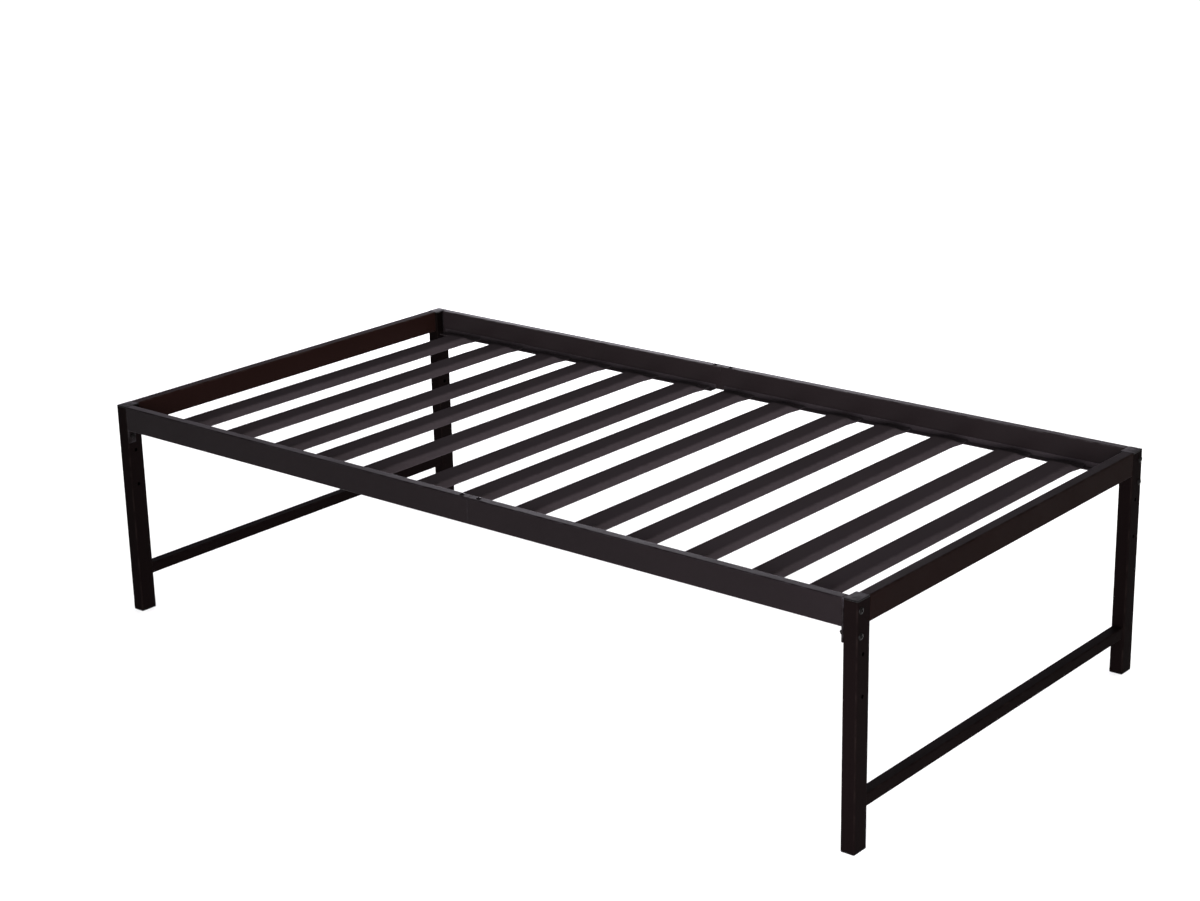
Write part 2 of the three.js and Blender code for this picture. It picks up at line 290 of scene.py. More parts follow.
def powder_coat(name, colour, wear_and_highlight_colour, roughness, specular, wear_and_highlight=0.5):
    """Baked powder paint: orange peel, soft clouds of tone and sheen, dust specks, and lighter edges, partly
    rubbed wear and partly painted highlight.
    """
    finish = Finish(name, roughness, specular)
    clouds = finish.spread(finish.noise(3.0, detail=4, roughness=0.6), 0.35, 0.65)
    toned = finish.mix(clouds, tinted(colour, 0.93), tinted(colour, 1.07))
    specks = finish.spread(finish.noise(420), 0.68, 0.76, to_high=0.35)
    dusted = finish.mix(specks, toned, tinted(colour, 1.9))
    # Lighter edges: partly rubbed wear, partly a painted highlight where the edges would catch light.
    rubbed_and_highlit = finish.spread(finish.edge(), 0.35, 1.0, to_high=wear_and_highlight)
    patches = finish.spread(finish.noise(38, detail=3, roughness=0.65), 0.4, 0.66)
    painted = finish.mix(finish.times(rubbed_and_highlit, patches), dusted, wear_and_highlight_colour)
    cloudy = finish.noise(11, detail=4, roughness=0.6)
    sheen = finish.spread(cloudy, 0.3, 0.7, to_low=roughness - 0.03, to_high=roughness + 0.04)
    peel = finish.bump(finish.noise(330, detail=3, roughness=0.55), distance=0.35 * MM, strength=0.35)
    waves = finish.bump(finish.noise(26), distance=1.2 * MM, strength=0.05, under=peel)
    return finish.join(painted, sheen, waves)


def moulded_plastic(name, colour):
    """Fine spark-eroded texture, slightly scuffed."""
    finish = Finish(name, roughness=0.55, specular=0.06)
    streaks = finish.noise(60, detail=4, roughness=0.7, stretch=(1, 1, 4))
    scuffs = finish.spread(streaks, 0.5, 0.75, to_high=0.7)
    toned = finish.mix(scuffs, colour, tinted(colour, 2.2))
    sheen = finish.spread(finish.noise(90, detail=3), 0.3, 0.7, to_low=0.45, to_high=0.68)
    grain = finish.bump(finish.noise(1400), distance=0.2 * MM, strength=0.5)
    return finish.join(toned, sheen, grain)


def black_steel(name, colour, bright):
    """Oil-blacked fastener steel: glossier than paint, bright where a driver or spanner has touched."""
    finish = Finish(name, roughness=0.2, specular=0.06)
    touched = finish.spread(finish.edge(), 0.75, 1.0, to_high=0.8)
    film = finish.spread(finish.noise(240, detail=3, roughness=0.6), 0.35, 0.7)
    toned = finish.mix(film, colour, tinted(colour, 1.7))
    sheen = finish.spread(finish.noise(500), 0.3, 0.7, to_low=0.14, to_high=0.22)
    grain = finish.bump(finish.noise(900), distance=0.12 * MM, strength=0.4)
    return finish.join(finish.mix(touched, toned, bright), sheen, grain)


def make_materials():
    """The finishes by name. A coat's colour is that of its flats; its edge colour, for rubbed edges, is
    partly a painted highlight.
    """
    return {
        # Painted shade: the legs' and crossbars' coat is a darker copy of the frame's one paint.
        "leg": powder_coat(
            "leg_coat_painted_shade",
            colour=(0.0044, 0.0028, 0.0028),
            wear_and_highlight_colour=(0.013, 0.009, 0.008),
            roughness=0.5,
            specular=0.003,
        ),
        # Painted shade: the end rails' coat is a darker, browner copy of the frame's one paint.
        "end": powder_coat(
            "end_coat_painted_shade",
            colour=(0.0064, 0.0027, 0.0023),
            wear_and_highlight_colour=(0.018, 0.012, 0.011),
            roughness=0.48,
            specular=0.009,
        ),
        # Painted light: the side rails' coat is the lightest copy of the frame's one paint.
        "rail": powder_coat(
            "rail_coat_painted_light",
            colour=(0.0088, 0.0064, 0.0070),
            wear_and_highlight_colour=(0.035, 0.031, 0.033),
            roughness=0.46,
            specular=0.036,
        ),
        # Also put on the ledges, where its lighter colour is painted light.
        "slat": powder_coat(
            "slat_coat",
            colour=(0.0475, 0.0388, 0.042),
            wear_and_highlight_colour=(0.073, 0.062, 0.066),
            roughness=0.72,
            specular=0.001,
            wear_and_highlight=0.3,
        ),
        # Painted shade: the brackets' coat is a darker copy of the frame's one paint; its wide light edges
        # are painted highlight.
        "bracket": powder_coat(
            "bracket_coat",
            colour=(0.0070, 0.0050, 0.0050),
            wear_and_highlight_colour=(0.055, 0.050, 0.056),
            roughness=0.45,
            specular=0.03,
            wear_and_highlight=0.9,
        ),
        "plastic": moulded_plastic("black_plastic", colour=(0.006, 0.0055, 0.0055)),
        "steel": black_steel("black_steel", colour=(0.0022, 0.0019, 0.0018), bright=(0.008, 0.007, 0.007)),
    }


# --- Meshes ---

ARC_STEPS = 5  # segments of a rounded corner
HOLD = 0.35 * MM  # how far inside a flat the first support line lies, so that shading stays flat
EASE = 0.3 * MM  # how far a tube's cut ends are drawn in
ROUND_SIDES, HOLE_SIDES, SOCKET_SIDES = 36, 28, 6
FULL_EDGE_MARK = math.radians(18)  # the bend between two faces from which an edge counts as sharp
FACE_SMOOTH, SCREW_SMOOTH, SOCKET_SMOOTH, BEAD_SMOOTH = 32, 40, 35, 60  # shading is smooth up to this bend
MERGE = 1e-7
AXIS_REACH = 1e-9  # a profile point this close to the axis is on it

# Where a profile's two directions and its length point, for a bar along each axis.
LAY = {
    "x": lambda u, v, w: (w, u, v),
    "y": lambda u, v, w: (u, w, v),
    "z": lambda u, v, w: (u, v, w),
}


def rounded_rectangle(width, height, radius):
    """Points round a rectangle with round corners, with a support point close to each end of each flat."""
    points = []
    for quarter in range(4):
        sx = 1 if quarter in (0, 3) else -1
        sy = 1 if quarter in (0, 1) else -1
        cx, cy = sx * (width / 2 - radius), sy * (height / 2 - radius)
        start = quarter * math.pi / 2
        arc = [start + i * math.pi / 2 / ARC_STEPS for i in range(ARC_STEPS + 1)]
        corner = [(cx + radius * math.cos(a), cy + radius * math.sin(a)) for a in arc]
        before = (corner[0][0] + HOLD * math.sin(start), corner[0][1] - HOLD * math.cos(start))
        last = arc[-1]
        after = (corner[-1][0] - HOLD * math.sin(last), corner[-1][1] + HOLD * math.cos(last))
        points += [before, *corner, after]
    return points


def mark_edges(bm):
    """Gives each vertex a number, 0 on a flat and 1 on a sharp outward edge. Finishes read it as wear, the
    coats also as painted highlight.
    """
    layer = bm.verts.layers.float.get("edge") or bm.verts.layers.float.new("edge")
    for vertex in bm.verts:
        bend = max((edge.calc_face_angle_signed(0) for edge in vertex.link_edges), default=0)
        vertex[layer] = min(max(bend / FULL_EDGE_MARK, 0), 1)


def shade(mesh, smooth_angle):
    mesh.shade_smooth()
    mesh.set_sharp_from_angle(angle=math.radians(smooth_angle))


def finish_mesh(bm, name, material, smooth_angle=FACE_SMOOTH, marked=True):
    """Turns a bmesh into an object of the scene. A cutting tool stays unmarked, as none of its edges show."""
    bmesh.ops.remove_doubles(bm, verts=bm.verts, dist=MERGE)
    bmesh.ops.recalc_face_normals(bm, faces=bm.faces)
    if marked:
        mark_edges(bm)
    mesh = bpy.data.meshes.new(name)
    bm.to_mesh(mesh)
    bm.free()
    mesh.materials.append(material)
    shade(mesh, smooth_angle)
    made = bpy.data.objects.new(name, mesh)
    bpy.context.scene.collection.objects.link(made)
    return made


def cut_away(piece, cutter, smooth_angle=FACE_SMOOTH):
    """Takes the cutter's shape out of the piece, and the cutter out of the scene."""
    modifier = piece.modifiers.new("cut", "BOOLEAN")
    modifier.operation = "DIFFERENCE"
    modifier.solver = "EXACT"
    modifier.object = cutter
    bpy.context.view_layer.update()
    evaluated = piece.evaluated_get(bpy.context.evaluated_depsgraph_get())
    mesh = bpy.data.meshes.new_from_object(evaluated)
    piece.modifiers.clear()
    uncut, piece.data = piece.data, mesh
    bpy.data.meshes.remove(uncut)
    bpy.data.objects.remove(cutter)
    mesh.name = piece.name
    shade(mesh, smooth_angle)
    return piece


def bridge(bm, first, second):
    """Joins two rings of vertices with a band of quads."""
    count = len(first)
    for i in range(count):
        j = (i + 1) % count
        bm.faces.new((first[i], first[j], second[j], second[i]))


def fan(bm, tip, ring):
    """Joins a ring of vertices to one point."""
    count = len(ring)
    for i in range(count):
        bm.faces.new((tip, ring[i], ring[(i + 1) % count]))


def skin(bm, outer, inner=None):
    """Joins loops of points into a tube: outside, inside, and the rims between them, or end caps."""

    def wall(loops):
        rows = [[bm.verts.new(point) for point in loop] for loop in loops]
        for first, second in zip(rows, rows[1:]):
            bridge(bm, first, second)
        return rows[0], rows[-1]

    outside = wall(outer)
    if inner is None:
        for ring in outside:
            bm.faces.new(ring)
        return
    for outer_ring, inner_ring in zip(outside, wall(inner)):
        bridge(bm, outer_ring, inner_ring)


def lathe(bm, profile, place, direction, sides=ROUND_SIDES):
    """Turns (radius, height) points round a line from place along direction. Ends on the axis close it."""
    turn = Vector(direction).to_track_quat("Z", "Y").to_matrix()
    angles = [2 * math.pi * i / sides for i in range(sides)]
    rows = []
    for radius, height in profile:
        if radius < AXIS_REACH:
            ring = [Vector((0, 0, height))]
        else:
            ring = [Vector((radius * math.cos(a), radius * math.sin(a), height)) for a in angles]
        rows.append([bm.verts.new(Vector(place) + turn @ point) for point in ring])
    for first, second in zip(rows, rows[1:]):
        if len(first) == 1:
            fan(bm, first[0], second)
        elif len(second) == 1:
            fan(bm, second[0], first)
        else:
            bridge(bm, first, second)


def tube_loops(axis, centre, width, height, radius, stations):
    """Loops of a rounded rectangle at places along an axis. A station is (place, how far it is drawn in)."""
    lay = LAY[axis]
    loops = []
    for along, inset in stations:
        outline = rounded_rectangle(width - 2 * inset, height - 2 * inset, radius - inset)
        loops.append([Vector(lay(u, v, 0)) + centre + Vector(lay(0, 0, along)) for u, v in outline])
    return loops


def eased_ends(half, ease):
    """Stations of a bar whose ends are drawn in a little, with a support station behind each edge."""
    near = [(-half, ease), (-half + ease, 0), (-half + (ease + HOLD), 0)]
    return near + [(-along, inset) for along, inset in reversed(near)]


def box_tube(name, low, high, axis, radius, wall, material):
    """A hollow rounded tube that fills a box, with its cut ends slightly eased."""
    size, centre = high - low, (low + high) / 2
    width, height, length = {
        "x": (size.y, size.z, size.x),
        "y": (size.x, size.z, size.y),
        "z": (size.x, size.y, size.z),
    }[axis]
    ends = eased_ends(length / 2, EASE)
    bore_ends = [(along, 0) for along, _ in ends]
    bm = bmesh.new()
    skin(
        bm,
        tube_loops(axis, centre, width, height, radius, ends),
        tube_loops(axis, centre, width - 2 * wall, height - 2 * wall, radius - wall, bore_ends),
    )
    return finish_mesh(bm, name, material)


def drilled(piece, holes):
    """Cuts each (place, direction, profile) hole out of a piece."""
    bm = bmesh.new()
    for place, direction, profile in holes:
        lathe(bm, profile, place, direction, sides=HOLE_SIDES)
    return cut_away(piece, finish_mesh(bm, piece.name + "_tool", piece.data.materials[0], marked=False))


def through_hole(radius, depth, lip=0.5 * MM):
    """A hole's tool, from just outside one face to just outside the far face, both mouths flared."""
    return [
        (0, -lip),
        (radius + 2 * lip, -lip),
        (radius, lip),
        (radius, depth - lip),
        (radius + 2 * lip, depth + lip),
        (0, depth + lip),
    ]


def middle(node):
    low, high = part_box(node)
    return (low + high) / 2


def keep(piece, node=None):
    """Says what the piece rides on, and which CAD node it stands for, if any."""
    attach(piece, "root")
    if node:
        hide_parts(node)


# --- Leg ends ---

LEG_RADIUS, LEG_WALL = 3 * MM, 1.2 * MM
CROSS_RADIUS, END_RAIL_WALL, CROSSBAR_WALL = 3 * MM, 1.2 * MM, 1 * MM
BOLT_HOLE, BOLT_HOLE_LIP = 3.3 * MM, 0.3 * MM
SPARE_HOLE = 4 * MM
SPARE_DROPS = (104 * MM, 184 * MM)  # how far below the top of the frame the spare holes are
FLANGE, FLANGE_EDGE, FLANGE_STEPS = 3 * MM, 0.9 * MM, 4
PLUG_GAP, PLUG_RADIUS, PLUG_WALL, PLUG_TIP = 0.3 * MM, 1.8 * MM, 2.4 * MM, 0.6 * MM
RIBS = 4
RIB_STATIONS = ((0, 0.5 * MM), (0.25, 0), (0.6, 0), (0.8, 0.5 * MM))  # share of a rib's length, drawn in by


def bolt_holes(corner, start, depth):
    """Holes along +X for a corner's two bolts."""
    holes = []
    for level in LEVELS:
        bolt = middle(f"bolt_{level}_{corner}")
        holes.append(((start, bolt.y, bolt.z), (1, 0, 0), through_hole(BOLT_HOLE, depth, BOLT_HOLE_LIP)))
    return holes


def make_leg(side, end, materials):
    """A leg's tube, drilled for its two bolts and with two spare holes lower down."""
    corner = f"{side}_{end}"
    low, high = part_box("leg_" + corner)
    leg = box_tube("leg_tube_" + corner, low, high, "z", LEG_RADIUS, LEG_WALL, materials["leg"])
    across = high.x - low.x
    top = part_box("top_cap_" + corner)[1].z
    holes = bolt_holes(corner, low.x, across)
    for drop in SPARE_DROPS:
        place = (low.x, (low.y + high.y) / 2, top - drop)
        holes.append((place, (1, 0, 0), through_hole(SPARE_HOLE, across)))
    keep(drilled(leg, holes), "leg_" + corner)


def add_flange(bm, low, high):
    """A plate over a leg's end, with both its edges rounded."""
    size, centre = high - low, (low + high) / 2
    half = size.z / 2
    turns = [i * math.pi / 2 / FLANGE_STEPS for i in range(FLANGE_STEPS + 1)]
    edge = [(half - FLANGE_EDGE * (1 - math.sin(a)), FLANGE_EDGE * (1 - math.cos(a))) for a in turns]
    mirrored = [(-along, inset) for along, inset in reversed(edge)]
    skin(bm, tube_loops("z", centre, size.x, size.y, LEG_RADIUS, mirrored + edge))


def add_sleeve(bm, low, high):
    """A hollow plug inside a leg, with ribs round it."""
    size, centre = high - low, (low + high) / 2
    step = size.z / RIBS
    starts = [-size.z / 2 + size.z * i / RIBS for i in range(RIBS)]
    stations = [(start + share * step, inset) for start in starts for share, inset in RIB_STATIONS]
    stations.append((size.z / 2, PLUG_TIP))
    bore = [(along, PLUG_WALL) for along, _ in stations]
    skin(
        bm,
        tube_loops("z", centre, size.x, size.y, PLUG_RADIUS, stations),
        tube_loops("z", centre, size.x, size.y, LEG_RADIUS, bore),
    )


def make_insert(node, name, flange, plug, materials):
    """A moulded insert. Its flange and its plug are each given as (lowest corner, highest corner)."""
    bm = bmesh.new()
    add_flange(bm, *flange)
    add_sleeve(bm, *plug)
    keep(finish_mesh(bm, name, materials["plastic"]), node)


def make_caps(side, end, materials):
    """The inserts in the foot and in the top of a leg."""
    corner = f"{side}_{end}"
    inside = Vector((LEG_WALL + PLUG_GAP, LEG_WALL + PLUG_GAP, 0))
    low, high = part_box("foot_cap_" + corner)
    seam = low.z + FLANGE
    flange = (low, Vector((high.x, high.y, seam)))
    plug = (Vector((low.x, low.y, seam)) + inside, high - inside)
    make_insert("foot_cap_" + corner, "foot_insert_" + corner, flange, plug, materials)
    low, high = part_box("top_cap_" + corner)
    seam = high.z - FLANGE
    flange = (Vector((low.x, low.y, seam)), high)
    plug = (low + inside, Vector((high.x, high.y, seam)) - inside)
    make_insert("top_cap_" + corner, "top_insert_" + corner, flange, plug, materials)


def make_cross_tubes(end, materials):
    """The top rail and the crossbar between an end's two legs."""
    for node, wall, finish in (("end_rail_", END_RAIL_WALL, "end"), ("crossbar_", CROSSBAR_WALL, "leg")):
        low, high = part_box(node + end)
        tube = box_tube(node + "tube_" + end, low, high, "y", CROSS_RADIUS, wall, materials[finish])
        keep(tube, node + end)


# --- Side rails ---

RAIL_RADIUS, RAIL_WALL = 2.5 * MM, 1.2 * MM
SEAM_HOLE_DEPTH, SEAM_HOLE_LIP = 6 * MM, 0.2 * MM
LEDGE, LEDGE_BEND = 1.5 * MM, 2.2 * MM
PLATE, PLATE_RADIUS, PLATE_EASE = 3 * MM, 2 * MM, 0.4 * MM
WELD_NUT = 5 * MM


def make_side_rail(side, end, materials):
    """Half a side rail, drilled from above for the screw into the sleeve."""
    corner = f"{side}_{end}"
    low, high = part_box("side_rail_" + corner)
    tube = box_tube("side_rail_tube_" + corner, low, high, "x", RAIL_RADIUS, RAIL_WALL, materials["rail"])
    screw = middle("joint_screw_" + corner)
    hole = through_hole(BOLT_HOLE, SEAM_HOLE_DEPTH, SEAM_HOLE_LIP)
    drilled(tube, [((screw.x, screw.y, high.z), (0, 0, -1), hole)])
    keep(tube, "side_rail_" + corner)


def make_ledge(side, end, materials):
    """A rolled angle with a round outer bend and eased edges."""
    corner = f"{side}_{end}"
    low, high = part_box("slat_ledge_" + corner)
    inwards = -SIDES[side]
    root = low.y if inwards > 0 else high.y
    shelf, upright = high.y - low.y, high.z - low.z
    arc = [i * math.pi / 2 / ARC_STEPS for i in range(ARC_STEPS + 1)]
    outline = [(LEDGE_BEND * (1 - math.sin(a)), LEDGE_BEND * (1 - math.cos(a))) for a in arc]
    outline += [(0, upright - HOLD), (HOLD, upright), (LEDGE - HOLD, upright), (LEDGE, upright - HOLD)]
    small = LEDGE_BEND - LEDGE
    outline += [(LEDGE_BEND - small * math.sin(a), LEDGE_BEND - small * math.cos(a)) for a in reversed(arc)]
    outline += [(shelf - HOLD, LEDGE), (shelf, LEDGE - HOLD), (shelf, HOLD), (shelf - HOLD, 0)]
    bm = bmesh.new()
    stations = (low.x, low.x + HOLD, high.x - HOLD, high.x)
    skin(bm, [[(x, root + inwards * u, low.z + v) for u, v in outline] for x in stations])
    # The ledge, part of the rail, takes the lighter slat coat: painted light that lifts the shade on it.
    keep(finish_mesh(bm, "ledge_angle_" + corner, materials["slat"]), "slat_ledge_" + corner)


def make_bracket(side, end, materials):
    """The plate at a rail's end with rounded corners, drilled, and its weld nut inside the rail."""
    corner, sign = f"{side}_{end}", ENDS[end]
    low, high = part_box("rail_bracket_" + corner)
    if sign > 0:
        low.x = high.x - PLATE
    else:
        high.x = low.x + PLATE
    size, centre = high - low, (low + high) / 2
    bm = bmesh.new()
    skin(bm, tube_loops("x", centre, size.y, size.z, PLATE_RADIUS, eased_ends(size.x / 2, PLATE_EASE)))
    plate = finish_mesh(bm, "bracket_plate_" + corner, materials["bracket"])
    drilled(plate, bolt_holes(corner, low.x, size.x))
    keep(plate, "rail_bracket_" + corner)
    bolt = middle("bolt_upper_" + corner)
    bm = bmesh.new()
    add_nut(bm, Vector((low.x if sign > 0 else high.x, bolt.y, bolt.z)), -sign, WELD_NUT)
    keep(finish_mesh(bm, "weld_nut_" + corner, materials["steel"]))


# --- Fasteners ---

Screw = namedtuple("Screw", "radius pitch head_radius head_height rim socket_radius socket_depth")
CORNER_BOLT = Screw(
    radius=3 * MM,
    pitch=1 * MM,
    head_radius=6.8 * MM,
    head_height=3.3 * MM,
    rim=0.8 * MM,
    socket_radius=2.3 * MM,
    socket_depth=2 * MM,
)
SEAM_SCREW = CORNER_BOLT._replace(
    head_radius=5 * MM,
    head_height=2.2 * MM,
    rim=0.6 * MM,
    socket_depth=1.4 * MM,
)
SLAT_SCREW = Screw(
    radius=2.2 * MM,
    pitch=0.8 * MM,
    head_radius=4.8 * MM,
    head_height=1.9 * MM,
    rim=0.4 * MM,
    socket_radius=1.7 * MM,
    socket_depth=1.2 * MM,
)
TIP, TIP_STEP = 0.8 * MM, 0.15 * MM  # a screw's chamfered tip, and how far inside the thread it ends
THREAD_START, THREAD_DEPTH = 1.2 * MM, 0.45 * MM
PLAIN_SHARE = 0.45  # how much of a shank, from the head, has no thread
NECK_STEP, HEAD_LIP, DOME_STEPS = 0.1 * MM, 0.3 * MM, 8
SOCKET_POINT, SOCKET_CLEAR = 0.5 * MM, 1 * MM  # how far a socket's tool passes its floor and the head
NUT_RADIUS, NUT_CHAMFER, NUT_CHAMFER_HEIGHT = 5.8 * MM, 0.7 * MM, 0.5 * MM
NUT_MOUTH, NUT_BORE = CORNER_BOLT.radius + 0.8 * MM, CORNER_BOLT.radius + 0.3 * MM


def hexagon(radius, height, place, sign):
    """Six points round a line along X, at a height from place in the direction of sign."""
    x = place.x + sign * height
    angles = [math.pi / 6 + math.pi / 3 * i for i in range(6)]
    return [Vector((x, place.y + radius * math.cos(a), place.z + radius * math.sin(a))) for a in angles]


def add_nut(bm, place, sign, height):
    """A hexagon nut on place along X, its corners chamfered by drawing the end hexagons in."""
    levels = (0, NUT_CHAMFER_HEIGHT, height - NUT_CHAMFER_HEIGHT, height)
    drawn_in = NUT_RADIUS - NUT_CHAMFER
    outer = (drawn_in, NUT_RADIUS, NUT_RADIUS, drawn_in)
    inner = (NUT_MOUTH, NUT_BORE, NUT_BORE, NUT_MOUTH)
    skin(
        bm,
        [hexagon(radius, level, place, sign) for radius, level in zip(outer, levels)],
        [hexagon(radius, level, place, sign) for radius, level in zip(inner, levels)],
    )


def screw_profile(screw, shank):
    """From the tip up: a chamfered end, thread ridges, a plain neck, and a domed button head."""
    radius, neck = screw.radius, screw.radius - NECK_STEP
    profile = [(0, -shank), (radius - TIP, -shank), (radius - TIP_STEP, -shank + TIP)]
    z = -shank + THREAD_START
    while z < -shank * PLAIN_SHARE:
        profile += [(radius, z), (radius - THREAD_DEPTH, z + screw.pitch / 2)]
        z += screw.pitch
    profile += [(neck, z), (neck, 0), (screw.head_radius - HEAD_LIP, 0), (screw.head_radius, HEAD_LIP)]
    dome = screw.head_height - screw.rim
    for i in range(1, DOME_STEPS):
        a = i / DOME_STEPS * math.pi / 2
        profile.append((screw.head_radius * math.cos(a), screw.rim + dome * math.sin(a)))
    return [*profile, (0, screw.head_height)]


def socket_profile(screw):
    """The tool that cuts a head's socket, with the point that a drill leaves at its bottom."""
    radius, floor, top = screw.socket_radius, screw.head_height - screw.socket_depth, screw.head_height
    return [(0, floor - SOCKET_POINT), (radius, floor), (radius, top + SOCKET_CLEAR), (0, top + SOCKET_CLEAR)]


def make_screw(name, screw, shank, place, direction, material):
    """A turned screw with a hexagon socket. Its head stands on place and points along direction."""
    bm = bmesh.new()
    lathe(bm, screw_profile(screw, shank), place, direction)
    made = finish_mesh(bm, name, material, smooth_angle=SCREW_SMOOTH)
    tool = bmesh.new()
    lathe(tool, socket_profile(screw), place, direction, sides=SOCKET_SIDES)
    cutter = finish_mesh(tool, name + "_socket", material, marked=False)
    return cut_away(made, cutter, smooth_angle=SOCKET_SMOOTH)


def make_corner_fasteners(side, end, materials):
    """The two bolts through a leg, and the nut on the lower one."""
    corner, sign = f"{side}_{end}", ENDS[end]
    head_height = CORNER_BOLT.head_height
    for level in LEVELS:
        node = f"bolt_{level}_{corner}"
        low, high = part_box(node)
        face = high.x - head_height if sign > 0 else low.x + head_height
        shank = high.x - low.x - head_height
        centre = middle(node)
        place = (face, centre.y, centre.z)
        name = f"corner_bolt_{level}_{corner}"
        bolt = make_screw(name, CORNER_BOLT, shank, place, (sign, 0, 0), materials["steel"])
        keep(bolt, node)
    low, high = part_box("nut_" + corner)
    centre = middle("nut_" + corner)
    start = high.x if sign > 0 else low.x
    bm = bmesh.new()
    add_nut(bm, Vector((start, centre.y, centre.z)), -sign, high.x - low.x)
    keep(finish_mesh(bm, "corner_nut_" + corner, materials["steel"]), "nut_" + corner)


def make_joint(side, materials):
    """The screws at the seam of a side rail, and the finish of the sleeve in it."""
    head_height = SEAM_SCREW.head_height
    for end in ENDS:
        node = f"joint_screw_{side}_{end}"
        low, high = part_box(node)
        shank = high.z - low.z - head_height
        centre = middle(node)
        place = (centre.x, centre.y, high.z - head_height)
        name = f"seam_screw_{side}_{end}"
        screw = make_screw(name, SEAM_SCREW, shank, place, (0, 0, 1), materials["steel"])
        keep(screw, node)
    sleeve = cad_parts["joint_sleeve_" + side]
    sleeve.data.materials.clear()
    sleeve.data.materials.append(materials["rail"])


# --- Slats ---

SLAT_HEIGHT, SLAT_WIDTH, SLAT_RADIUS, SLAT_WALL = 20 * MM, 48 * MM, 4 * MM, 0.8 * MM
PRESSED_HEIGHT, PRESSED_WIDTH, PRESSED_LENGTH, RAMP = 4 * MM, 56 * MM, 20 * MM, 48 * MM
WIDENING = 1.1  # the width reaches its pressed size a little before the height does
CLIPPED, CLIP_SHARE = 7 * MM, 0.8  # the round corners of a pressed end, and how much of a full round they cut
LEAST_FLAT = 0.15 * MM  # half the flat that is left on a pressed edge
END_STATIONS = [distance * MM for distance in (0, 0.3, 1, 2, 4, 7, 12, 16)]
RAMP_STEPS, MIDDLE_STEPS = 14, 8
RAMP_HOLD = 2 * MM
SCREW_INSET, SCREW_REACH = 12 * MM, 4.5 * MM  # from a slat's end, and how far the tip goes below it


def smooth_step(t):
    """Rises from 0 to 1 with a gentle start and stop."""
    t = min(max(t, 0.0), 1.0)
    return t * t * (3 - 2 * t)


def slat_section(inset):
    """Width, height and corner radius of a slat at a distance in from its end."""
    pressed = 1 - smooth_step((inset - PRESSED_LENGTH) / RAMP)
    height = SLAT_HEIGHT + (PRESSED_HEIGHT - SLAT_HEIGHT) * pressed
    width = SLAT_WIDTH + (PRESSED_WIDTH - SLAT_WIDTH) * smooth_step(pressed * WIDENING)
    if inset < CLIPPED:
        width -= 2 * (CLIPPED - math.sqrt(CLIPPED**2 - (CLIPPED - inset) ** 2)) * CLIP_SHARE
    radius = min(SLAT_RADIUS, height / 2 - LEAST_FLAT)
    return width, height, radius


def slat_stations(half):
    """Places along a slat as (y, distance in from the nearer end), closest where its section changes."""
    ramp = [PRESSED_LENGTH + RAMP * i / RAMP_STEPS for i in range(RAMP_STEPS + 1)]
    insets = [*END_STATIONS, *ramp, ramp[-1] + RAMP_HOLD]
    near = [(-half + inset, inset) for inset in insets]
    plain = [(-half + 2 * half * i / MIDDLE_STEPS, half) for i in range(1, MIDDLE_STEPS)]
    far = [(half - inset, inset) for inset in reversed(insets)]
    return near + plain + far


def make_slat(node, materials):
    """A tube whose ends are pressed flat and wide, and its two screws."""
    low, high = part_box(node)
    centre_x, half = (low.x + high.x) / 2, (high.y - low.y) / 2
    outer, inner = [], []
    for y, inset in slat_stations(half):
        width, height, radius = slat_section(inset)
        base = Vector((centre_x, y, low.z + height / 2))
        outline = rounded_rectangle(width, height, radius)
        bore = rounded_rectangle(width - 2 * SLAT_WALL, height - 2 * SLAT_WALL, radius - SLAT_WALL)
        outer.append([base + Vector((u, 0, v)) for u, v in outline])
        inner.append([base + Vector((u, 0, v)) for u, v in bore])
    bm = bmesh.new()
    skin(bm, outer, inner)
    keep(finish_mesh(bm, node + "_tube", materials["slat"]), node)
    for side, sign in SIDES.items():
        place = Vector((centre_x, sign * (half - SCREW_INSET), low.z + PRESSED_HEIGHT))
        make_slat_screw(f"{node}_screw_{side}", place, materials)


def make_slat_screw(name, place, materials):
    """A low round-headed screw through the pressed end, its tip showing under the ledge."""
    shank = PRESSED_HEIGHT + SCREW_REACH
    keep(make_screw(name, SLAT_SCREW, shank, place, (0, 0, 1), materials["slat"]))


# --- Welds ---

BEAD_STEP, BEAD_SIDES, BEAD_LEAST_STEPS = 0.8 * MM, 10, 8
BEAD_ROUNDING = 8  # the power that keeps a bead full until close to its ends
BEAD_TIP = 0.04  # the square of what is left of its radius there
RIPPLE, RIPPLE_LENGTH = 0.16, 2.6 * MM
UNEVEN, WANDER = 0.05, 0.1  # random changes of a bead's size and place, as shares of its radius
END_BEAD, BAR_BEAD, LEDGE_BEAD, BRACKET_BEAD = 1.5 * MM, 1.3 * MM, 1.3 * MM, 1.4 * MM
BEAD_MARGIN, BRACKET_MARGIN = 3 * MM, 4 * MM  # how far a bead stops short of a tube's corner
STITCHES, STITCH, STITCH_RISE = 5, 28 * MM, 0.6 * MM
GAP_REACH = 0.1 * MM  # how far a bead's line lies past the tube's end, in the gap to the leg


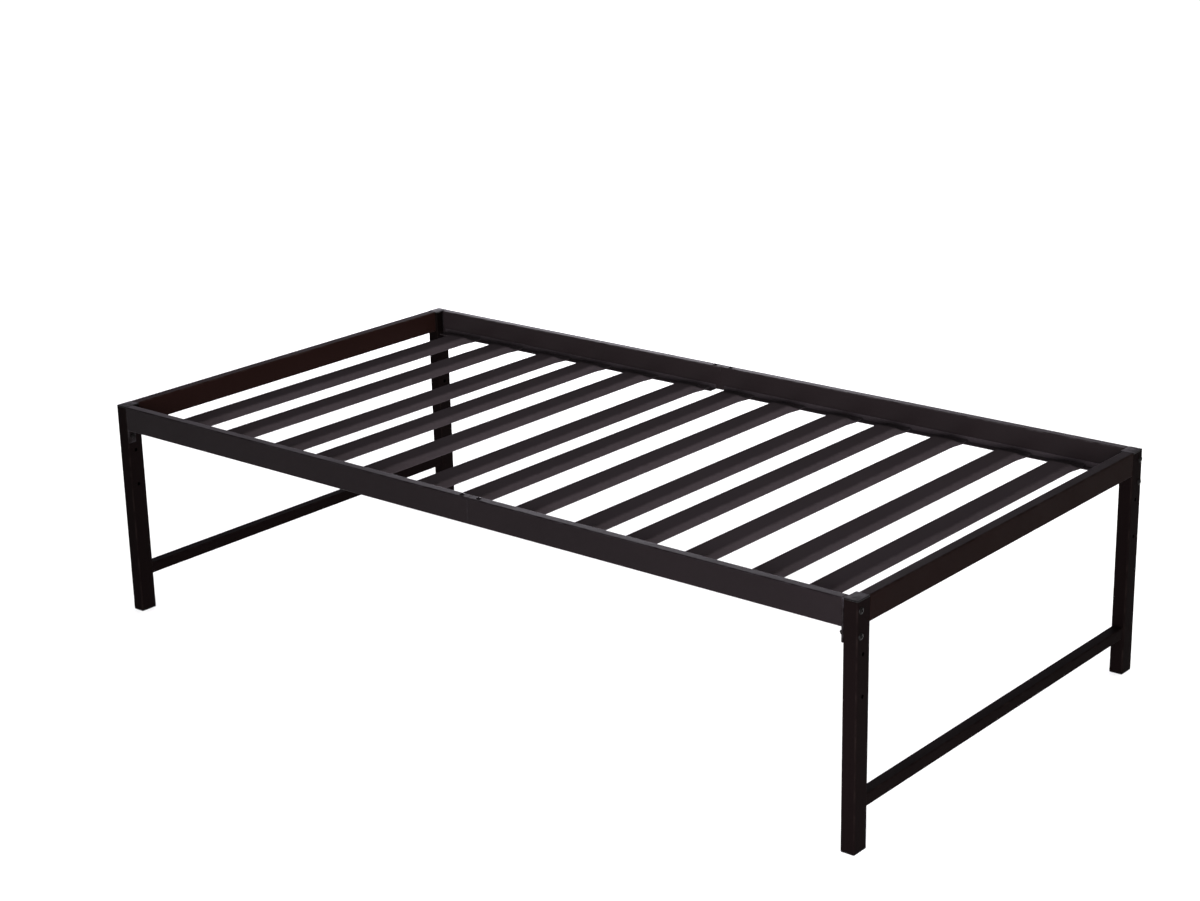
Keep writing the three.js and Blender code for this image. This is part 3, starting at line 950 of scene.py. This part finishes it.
def weld_bead(name, start, end, radius, finish, materials, seed):
    """A rippled, slightly uneven bead along a straight seam, its ends rounded off."""
    shake = random.Random(seed)
    run = end - start
    along = run.normalized()
    side = along.orthogonal().normalized()
    up = along.cross(side)
    steps = max(BEAD_LEAST_STEPS, round(run.length / BEAD_STEP))
    turns = [2 * math.pi * k / BEAD_SIDES for k in range(BEAD_SIDES)]
    loops = []
    for i in range(steps + 1):
        t = i / steps
        taper = math.sqrt(max(BEAD_TIP, 1 - (2 * t - 1) ** BEAD_ROUNDING))
        wave = RIPPLE * math.sin(2 * math.pi * t * run.length / RIPPLE_LENGTH)
        r = radius * taper * (1 + wave + shake.uniform(-UNEVEN, UNEVEN))
        centre = start + run * t + side * shake.uniform(-WANDER, WANDER) * radius
        loops.append([centre + side * r * math.cos(a) + up * r * math.sin(a) for a in turns])
    bm = bmesh.new()
    skin(bm, loops)
    keep(finish_mesh(bm, name, materials[finish], smooth_angle=BEAD_SMOOTH))


def weld_leg_ends(side, end, materials):
    """Beads where an end rail and a crossbar meet a leg."""
    corner, sx, sy = f"{side}_{end}", ENDS[end], SIDES[side]
    low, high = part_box("end_rail_" + end)
    y = (high.y if sy > 0 else low.y) + sy * GAP_REACH

    def at(x, z):
        return Vector((x, y, z))

    inner_x = low.x if sx > 0 else high.x
    inner = (at(inner_x, low.z + BEAD_MARGIN), at(inner_x, high.z - BEAD_MARGIN))
    under = (at(low.x + BEAD_MARGIN, low.z), at(high.x - BEAD_MARGIN, low.z))
    weld_bead("weld_rail_inner_" + corner, *inner, END_BEAD, "end", materials, corner + "a")
    weld_bead("weld_rail_under_" + corner, *under, END_BEAD, "end", materials, corner + "b")
    low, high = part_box("crossbar_" + end)
    seams = {
        "inner": (at(low.x, low.z), at(low.x, high.z)),
        "outer": (at(high.x, low.z), at(high.x, high.z)),
        "top": (at(low.x, high.z), at(high.x, high.z)),
        "under": (at(low.x, low.z), at(high.x, low.z)),
    }
    for label, (a, b) in seams.items():
        margin = (b - a).normalized() * BEAD_MARGIN
        name = f"weld_bar_{label}_{corner}"
        weld_bead(name, a + margin, b - margin, BAR_BEAD, "leg", materials, corner + label)


def weld_side_rail(side, end, materials):
    """Stitch welds under each ledge, and beads down the inside and under the end of each rail half."""
    corner, sy = f"{side}_{end}", SIDES[side]
    low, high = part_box("slat_ledge_" + corner)
    y = high.y if sy > 0 else low.y
    z = low.z + STITCH_RISE
    for i in range(STITCHES):
        x = low.x + (high.x - low.x) * (i + 0.5) / STITCHES
        stitch = (Vector((x - STITCH / 2, y, z)), Vector((x + STITCH / 2, y, z)))
        weld_bead(f"weld_ledge_{i + 1}_{corner}", *stitch, LEDGE_BEAD, "rail", materials, corner + str(i))
    low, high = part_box("side_rail_" + corner)
    x = high.x if ENDS[end] > 0 else low.x
    y = low.y if sy > 0 else high.y
    inner = (Vector((x, y, low.z + BRACKET_MARGIN)), Vector((x, y, high.z - BRACKET_MARGIN)))
    under = (Vector((x, low.y + BEAD_MARGIN, low.z)), Vector((x, high.y - BEAD_MARGIN, low.z)))
    weld_bead("weld_bracket_" + corner, *inner, BRACKET_BEAD, "rail", materials, corner + "bracket")
    weld_bead("weld_bracket_under_" + corner, *under, BRACKET_BEAD, "rail", materials, corner + "under")


# --- The scene ---


def build():
    materials = make_materials()
    for side, end in CORNERS:
        make_leg(side, end, materials)
        make_caps(side, end, materials)
        make_side_rail(side, end, materials)
        make_ledge(side, end, materials)
        make_bracket(side, end, materials)
        make_corner_fasteners(side, end, materials)
        weld_leg_ends(side, end, materials)
        weld_side_rail(side, end, materials)
    for end in ENDS:
        make_cross_tubes(end, materials)
    for side in SIDES:
        make_joint(side, materials)
    for node in sorted(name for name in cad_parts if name.removeprefix("slat_").isdigit()):
        make_slat(node, materials)


bpy.context.scene.view_settings.view_transform = "Standard"
make_camera()
make_world()
make_lights(make_stage())
build()
fill_inner_faces()
